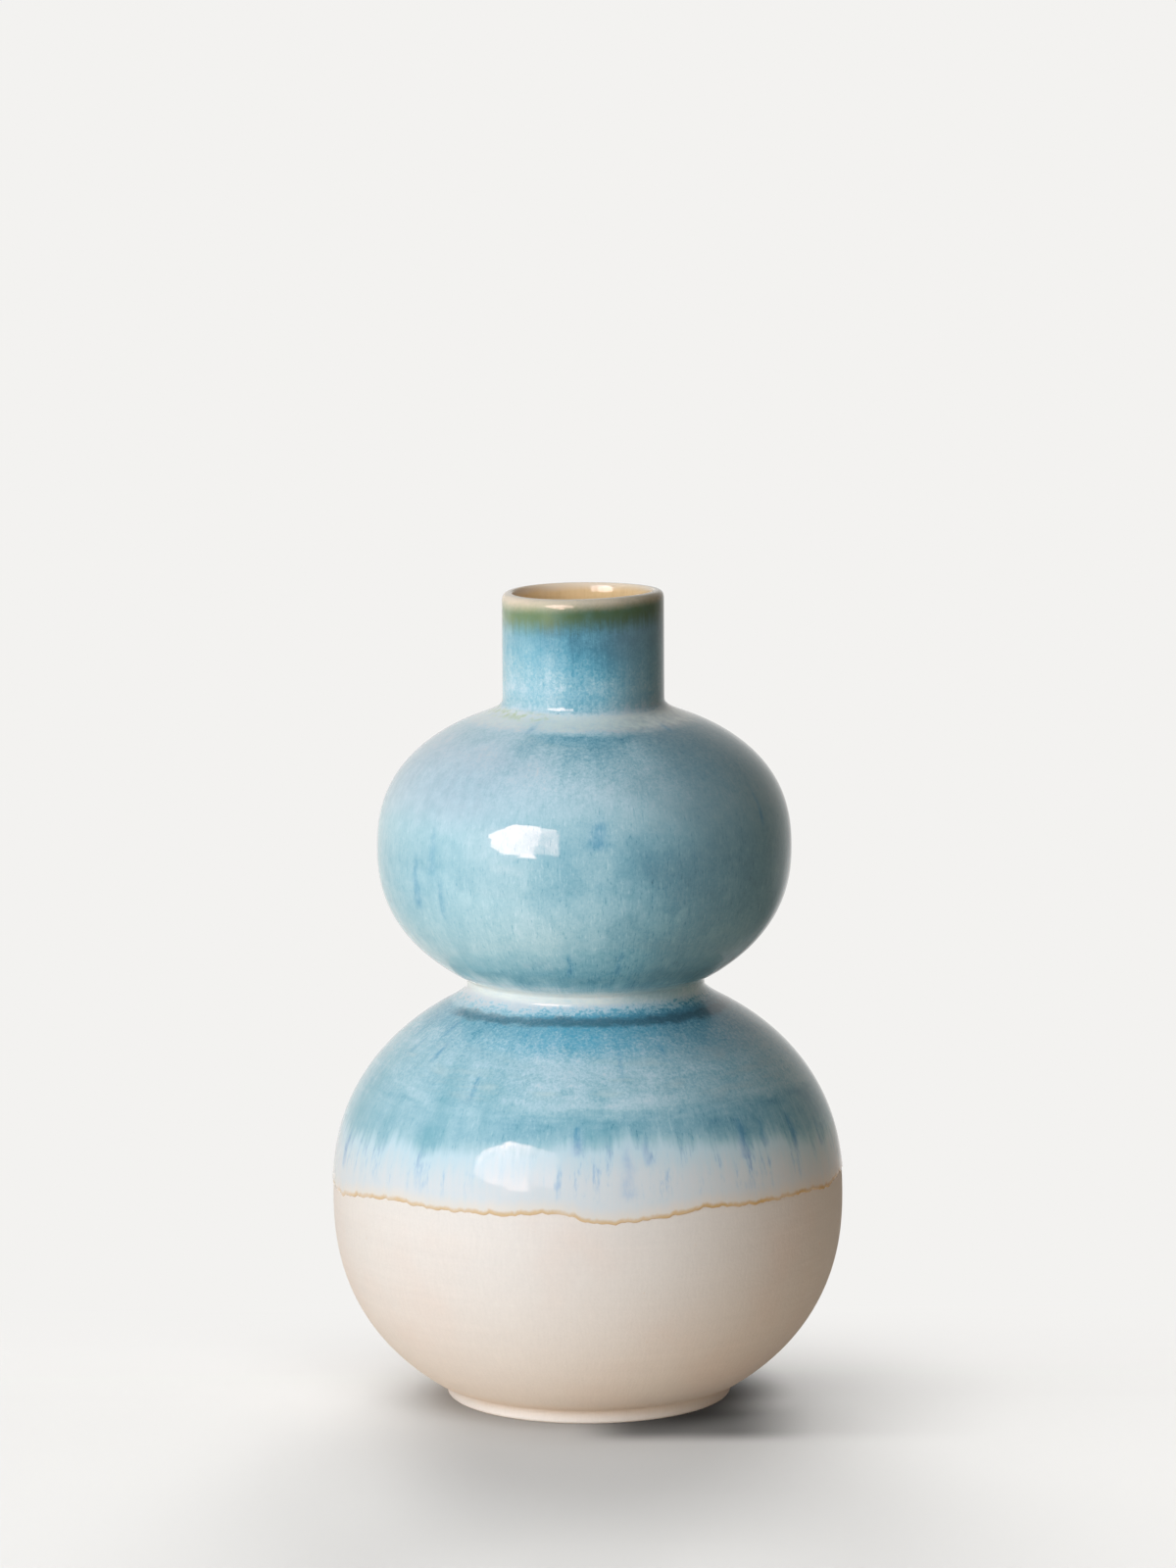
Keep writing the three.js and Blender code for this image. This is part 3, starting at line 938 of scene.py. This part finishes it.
def liner_glaze(name, c):
    """The inner coat: sand, honey where it pools at the waist and the floor, pale on the
    lip, with faint streaks down the wall and a cool gloss."""
    f = Finish(
        name, Roughness=0.06, IOR=1.5, Specular_IOR_Level=0.7, Specular_Tint=(0.66, 0.86, 1, 1))
    streak = f.noise(2.5, 30, detail=2, seed=13)
    cloud = f.noise(9, detail=2, seed=6)
    mottle = f.noise(1.6, detail=2, seed=3)
    pool = f.step(f.z, 20, 9) + f.band(f.z, 108, 116, 4) * 0.6
    f.set(Base_Color=f.over(
        c.sand,
        (f.step(cloud * 0.6 + streak * 0.5 + mottle * 0.25 + pool * 2, -0.6, 1.8) * 0.7, c.honey),
        (f.step(f.z - f.right * 0.5 + cloud * 0.4, 217.6, 219.8), c.lip),
    ))
    f.relief(f.noise(8, detail=1, seed=19) * 0.02)
    return f.material


# The studio

PALE = srgb("F3F2F0")  # the floor and the background
TABLE_TONE = (0.40, 0.332, 0.266)
TABLE_LEVEL = -0.0002
DISC_RADIUS, DISC_SIDES = 40, 96
WORLD_LEVEL = 0.06
WORLD_TONE = (1, 0.85, 0.7)
ROOM_DARK = 0.16  # how bright the unlit room is beside the background
FLOOR_SHARE = 0.35  # how much of the pale the floor's own colour is
SOFTBOX = Vector((-0.3729, -0.5325, 0.348))
SHINE_HALF = (0.26, 0.15)  # half the softbox's width and height, as glossy glaze mirrors it
MIDDLE = Vector((0, 0, 0.12))  # the point of the vase that the area lamps face
CAMERA_PLACE = (0.000655, -1.6, 0.4058)
CAMERA_DOWN, CAMERA_ROLL = 8.472, -0.328  # in degrees
CAMERA_LENS = 137.61

# Lamps: name, energy, place, tint, size, and what they light, or what they leave out. An area
# lamp has its energy in watts and its two sides in metres. A sun has the share of white that
# it gives a surface facing it, the direction that it stands in and its angle in degrees.
LAMPS = (
    ("softbox", 3.9, SOFTBOX, (0.743, 0.865, 1.0), (0.55, 0.30), "EXCLUDE", "floor"),
    ("top_light", 0.2, (-0.3, -0.2, 1), (0.9, 1, 1), 60, "EXCLUDE", "floor", "table"),
    ("foot_light", 0.42, (-0.1, -1, 0.1), (1, 0.88, 0.76), 60,
     "INCLUDE", "foot_ring_clay", "foot_seam"),
    ("mouth_light", 0.19, (0.1, -1, 0.6), (1, 0.95, 0.85), 60, "INCLUDE", "inner_glaze_coat"),
    ("back_fill", 0.35, (0.1, 1, 0.1), (1, 1, 1), 30, "EXCLUDE", "floor", "table"),
    ("table_top", 0.95, (0, 0, 1), (1, 1, 1), 150, "INCLUDE", "table"),
    ("table_side", 75, (-1.5, 0.1, 0.5), (1, 1, 1), (1.2, 1.0), "INCLUDE", "table"),
)

# The suns that light the floor alone: name, share of its light, direction and angle
FLOOR_LAMPS = (
    ("floor_back", 0.24, (0, 0.8, 0.5), 60),
    ("floor_far", 0.25, (0, 1, 0.3), 40),
    ("floor_back_left", 0.03, (-0.7, 0.7, 0.5), 40),
    ("floor_top", 0.15, (-0.6, -0.3, 0.8), 60),
    ("floor_front", 0.30, (0, -1, 0.55), 60),
    ("floor_right", 0.05, (1, 0.3, 0.6), 60),
)


def lamp(name, energy, place, tint, size, state, *objects):
    """A lamp that mirrored rays don't meet. An area lamp faces the vase's middle, a sun the
    origin. It lights only the objects that it includes, or all but those it excludes."""
    area = isinstance(size, tuple)
    data = bpy.data.lights.new(name, "AREA" if area else "SUN")
    data.color = tint
    if area:
        data.energy = energy
        data.shape = "RECTANGLE"
        data.size, data.size_y = size
    else:
        data.energy = energy * math.pi
        data.angle = math.radians(size)
    made = placed(name, data)
    made.location = place
    toward = (MIDDLE if area else Vector()) - Vector(place)
    made.rotation_euler = toward.to_track_quat("-Z", "Y").to_euler()
    made.visible_glossy = False
    group = bpy.data.collections.new(name + "_lights")
    for each in objects:
        group.objects.link(bpy.context.scene.objects[each])
    for entry in group.collection_objects:
        entry.light_linking.link_state = state
    made.light_linking.receiver_collection = group


def floor_finish():
    """The floor that is seen: pale, with the vase's shadow near it and the plain
    background's colour further out. Its own colour is a share of that pale, and its lamps
    are stronger by as much, so that little of the light thrown by the vase shows on it.
    Painted shade deepens the shadow close to the foot at the right, in a tongue in front of it
    and more softly beside it, and painted light lightens it further ahead and aside to the left."""
    f = Finish("pale_floor")
    far = f.math("MAXIMUM", f.step(f.out, 320, 600), f.step(f.y, -10, 95))
    front = f.step(f.y, -61, -46)
    near = f.step(f.out, 58, 38) * f.step(f.x, 0, 34) * 0.7
    tongue = front * f.step(f.x, -7, 14) * f.step(f.x, 62, 36) * f.step(f.y, -14, -30) * 0.66
    beside = front * f.step(f.x, 20, 60) * f.step(f.out, 125, 60) * f.step(f.y, 60, 0) * 0.2
    ahead = f.step(f.y, -80, -170) * f.band(f.x, -40, 50, 30) * 0.2
    aside = f.band(f.x, -66, -42, 20) * f.step(f.y, -10, -45) * f.step(f.y, -180, -110) * 0.11
    shade = (1 - near) * (1 - tongue) * (1 - beside) * (1 + ahead + aside)
    tone = f.scaled(PALE, shade * FLOOR_SHARE)
    shadowed = f.node("BsdfDiffuse", sockets={"Color": tone})
    plain = f.node("Emission", sockets={"Color": as_colour(PALE)})
    f.show(f.node("MixShader", sockets={0: far, 1: shadowed, 2: plain}))
    return f.material


def table_finish():
    """The warm table under the floor, which only throws light back up at the vase."""
    tone = as_colour(TABLE_TONE)
    return Finish("warm_table", Roughness=1.0, Base_Color=tone, Specular_IOR_Level=0).material


def make_world():
    """The air of the studio. It lights weakly and warmly. The camera sees the plain
    background's colour in it. Mirrored and clear rays see that colour behind the vase, but
    for what lies low at the right, and on the table in front, and the unlit room over and
    to the right of the table."""
    world = bpy.data.worlds.new("studio_air")
    world.use_nodes = True
    f = Nodes(world.node_tree)
    camera, glossy, clear = f.node("LightPath", output=(
        "Is Camera Ray", "Is Glossy Ray", "Is Transmission Ray"))
    x, y, z = f.parts(f.node("TexCoord", output="Generated"))
    right = f.step(x, -0.2, 0.4)
    behind = f.step(y, 0.15, 0.65) * (1 - right) + f.step(y, 0.4, 1.3) * right
    table = (1 - f.step(x, 0, 0.6) * 0.85) * (1 - behind) + behind * (
        1 - f.step(x, -0.15, 0.15) * f.step(z, -0.2, -0.4) * 0.95)
    above = behind * (1 - ROOM_DARK) + ROOM_DARK
    seen = above + (table - above) * f.step(z, -0.15, -0.175)
    lit = f.node("Background", sockets={0: as_colour(WORLD_TONE), 1: WORLD_LEVEL})
    mirrored = f.node("Background", sockets={0: as_colour(PALE), 1: seen})
    shown = f.node("Background", sockets={0: as_colour(PALE), 1: 1.0})
    mirror_share = f.math("MAXIMUM", glossy, clear)
    other = f.node("MixShader", sockets={0: mirror_share, 1: lit, 2: mirrored})
    air = f.node("MixShader", sockets={0: camera, 1: other, 2: shown})
    f.node("OutputWorld", sockets={0: air})
    bpy.context.scene.world = world


def shine_finish():
    """The glow of the softbox as glossy glaze mirrors it, by half widths across and half
    heights up from its middle, which each crease of its cloth shifts by its own amount. It
    is hot over two thirds of its width, its left corners cut off, and dimmer to the right,
    with a thin strip below, a faint glow over its left half and a faint spill under it."""
    f = Finish("softbox_glow")
    along = SOFTBOX.xy.normalized()
    across = ((f.x - SOFTBOX.x / MM) * -along.y + (f.y - SOFTBOX.y / MM) * along.x) * (
        MM / SHINE_HALF[0])
    rise = (f.z - SOFTBOX.z / MM) * (MM / SHINE_HALF[1])
    crease = f.node("TexVoronoi", None, {"Vector": f.place, "Scale": 9.0}, "Color")
    a, b, c = f.parts(crease)
    u, v = across + (a - 0.5) * 0.16, rise + (b - 0.5) * 0.14
    cut = f.step(u + (0.9 - v) * 0.58, -0.38, -0.32) * f.step(v + u * 0.94, -1.32, -1.26)
    hot = cut * f.band(u, -0.8, 0.41, 0.04) * f.band(v, -1.08, 1.15, 0.03)
    dim = f.band(u, 0.40, 0.95, 0.03) * f.band(v, -0.9, 1.0, 0.03)
    strip = f.band(u, -0.7, 0.2, 0.08) * f.band(v, -1.85, -1.6, 0.08)
    glow = f.step(across, -2.0, -0.8) * f.step(across, 0.5, -0.3) * f.band(v, -1.2, 0.6, 0.6)
    spill = f.band(across, -1.2, -0.2, 0.5) * f.step(rise, -1.0, -1.4) * 0.55
    power = hot * (c * 9 + 10) + dim * (c * 5 + 5) + strip * 2 + glow * 1.8 + spill
    f.show(f.node("Emission", sockets={0: (1, 0.66, 0.57, 1), 1: power}))
    return f.material


def stage_face(name, corners, finish):
    """One flat face of the stage."""
    mesh = bpy.data.meshes.new(name)
    mesh.from_pydata(corners, [], [list(range(len(corners)))])
    mesh.materials.append(finish)
    made = placed(name, mesh)
    return made


def shine_card():
    """A card in the softbox's place that only mirrored rays meet: its middle plus so many
    half widths across and half heights up."""
    along = SOFTBOX.xy.normalized().to_3d()
    across = Vector((-along.y, along.x, 0)) * SHINE_HALF[0]
    rise = Vector((0, 0, SHINE_HALF[1]))
    reach = (-2, -3), (-2, 2), (2, 2), (2, -3)
    corners = [tuple(SOFTBOX + across * i + rise * j) for i, j in reach]
    made = stage_face("softbox_card", corners, shine_finish())
    made.visible_camera = made.visible_diffuse = made.visible_shadow = False


def disc(name, level, finish):
    """A wide flat disc of the stage at a level: its edge is the radius times the cosine and
    the sine of the turn."""
    turn = turns(DISC_SIDES)
    edge = rows(DISC_RADIUS * np.cos(turn), DISC_RADIUS * np.sin(turn))
    return stage_face(name, np.insert(edge, 2, level, axis=1).tolist(), finish)


def make_camera(scene):
    """The camera in front of the vase, which looks a little down on it."""
    data = bpy.data.cameras.new("camera")
    data.sensor_width = data.sensor_height = 36
    data.lens = CAMERA_LENS
    data.clip_end = 100
    camera = placed("camera", data)
    pitch, roll = math.radians(90 - CAMERA_DOWN), math.radians(CAMERA_ROLL)
    camera.matrix_world = (
        Matrix.Translation(CAMERA_PLACE)
        @ Matrix.Rotation(pitch, 4, "X") @ Matrix.Rotation(roll, 4, "Z")
    )
    scene.camera = camera


# The pieces and the stage as operators

def dress(piece, node, finish):
    """Gives a piece its finish and its place in the frame's table."""
    piece.data.materials.append(finish)
    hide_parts(node)
    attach(piece, "root")


class VASE_OT_clay(bpy.types.Operator):
    """Build the foot ring, the two bulbs and the neck of bare clay"""
    bl_idname = "vase.clay"
    bl_label = "Clay Sections"

    def execute(self, context):
        s, c = context.scene.vase_sizes, context.scene.vase_colours
        finish = clay_finish("bare_clay", c, c.clay)
        for name, node, outline, columns in (
            ("foot_ring_clay", "foot_ring", foot_outline(s), 360),
            ("lower_bulb_clay", "lower_bulb", lower_outline(s), 360),
            ("upper_bulb_clay", "upper_bulb", upper_outline(s), 180),
            ("neck_clay", "neck", neck_outline(s), 180),
        ):
            dress(from_outline(s, name, outline, columns), node, finish)
        return {"FINISHED"}


class VASE_OT_seams(bpy.types.Operator):
    """Build the seams of slip between the sections"""
    bl_idname = "vase.seams"
    bl_label = "Slip Seams"

    def execute(self, context):
        s, c = context.scene.vase_sizes, context.scene.vase_colours
        finish = clay_finish("slip_seam", c, c.slip)
        for name, node, outline in (
            ("foot_seam", "foot_slip", seam_outline(s, s.foot_height, s.foot_inner)),
            ("waist_seam", "waist_slip", seam_outline(s, s.waist_level)),
            ("neck_seam", "neck_slip", seam_outline(s, s.neck_joint)),
        ):
            dress(from_outline(s, name, outline, 360), node, finish)
        return {"FINISHED"}


class VASE_OT_outer_glaze(bpy.types.Operator):
    """Build the outer coat of glaze, from its wavy line up to the lip"""
    bl_idname = "vase.outer_glaze"
    bl_label = "Outer Glaze"

    def execute(self, context):
        s, c = context.scene.vase_sizes, context.scene.vase_colours
        columns = 540
        radius, level = outer_coat(s, columns)
        piece = turned(s, "outer_glaze_coat", radius, level, columns)
        turn = turns(columns)[None]
        at, height = np.array(DRIP_LINE).T
        note(piece, "over_line", (level - glaze_line(turn)) / MM)
        note(piece, "over_drips", level / MM - np.interp(from_front(turn), at, height))
        note(piece, "runs", run_depth(turn, level))
        dress(piece, "outer_glaze", run_glaze("run_glaze", c))
        return {"FINISHED"}


class VASE_OT_inner_glaze(bpy.types.Operator):
    """Build the inner coat of glaze, from the lip down to the floor inside"""
    bl_idname = "vase.inner_glaze"
    bl_label = "Inner Glaze"

    def execute(self, context):
        s, c = context.scene.vase_sizes, context.scene.vase_colours
        piece = from_outline(s, "inner_glaze_coat", inner_coat_outline(s), 270)
        dress(piece, "inner_glaze", liner_glaze("liner_glaze", c))
        return {"FINISHED"}


class VASE_OT_stage(bpy.types.Operator):
    """Build the floor, the lamps and the camera"""
    bl_idname = "vase.stage"
    bl_label = "Stage"

    def execute(self, context):
        floor = disc("floor", 0, floor_finish())
        floor.visible_diffuse = floor.visible_glossy = floor.visible_shadow = False
        table = disc("table", TABLE_LEVEL, table_finish())
        table.visible_camera = table.visible_glossy = False
        make_world()
        shine_card()
        for row in LAMPS:
            lamp(*row)
        for name, part, toward, angle in FLOOR_LAMPS:
            upright = toward[2] / Vector(toward).length
            level = part * (1 / FLOOR_SHARE - WORLD_LEVEL) / upright
            lamp(name, level, toward, (1, 1, 1), angle, "INCLUDE", "floor")
        make_camera(context.scene)
        context.scene.view_settings.view_transform = "Standard"
        return {"FINISHED"}


class VASE_PT_panel(bpy.types.Panel):
    """Sizes, colours and the pieces in the order they are built"""
    bl_idname = "VASE_PT_panel"
    bl_label = "Stoneware Vase"
    bl_space_type = "VIEW_3D"
    bl_region_type = "UI"
    bl_category = "Vase"

    def draw(self, context):
        for operator in OPERATORS:
            self.layout.operator(operator.bl_idname)
        for group in (context.scene.vase_sizes, context.scene.vase_colours):
            for name in group.__annotations__:
                self.layout.prop(group, name)


OPERATORS = (VASE_OT_clay, VASE_OT_seams, VASE_OT_outer_glaze, VASE_OT_inner_glaze, VASE_OT_stage)
CLASSES = (VASE_PG_sizes, VASE_PG_colours, *OPERATORS, VASE_PT_panel)


def register():
    for each in CLASSES:
        bpy.utils.register_class(each)
    bpy.types.Scene.vase_sizes = PointerProperty(type=VASE_PG_sizes)
    bpy.types.Scene.vase_colours = PointerProperty(type=VASE_PG_colours)


def unregister():
    del bpy.types.Scene.vase_colours, bpy.types.Scene.vase_sizes
    for each in reversed(CLASSES):
        bpy.utils.unregister_class(each)


def main():
    """Registers the classes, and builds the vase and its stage."""
    register()
    bpy.ops.vase.clay()
    bpy.ops.vase.seams()
    bpy.ops.vase.outer_glaze()
    bpy.ops.vase.inner_glaze()
    bpy.ops.vase.stage()


if __name__ == "__main__":
    main()
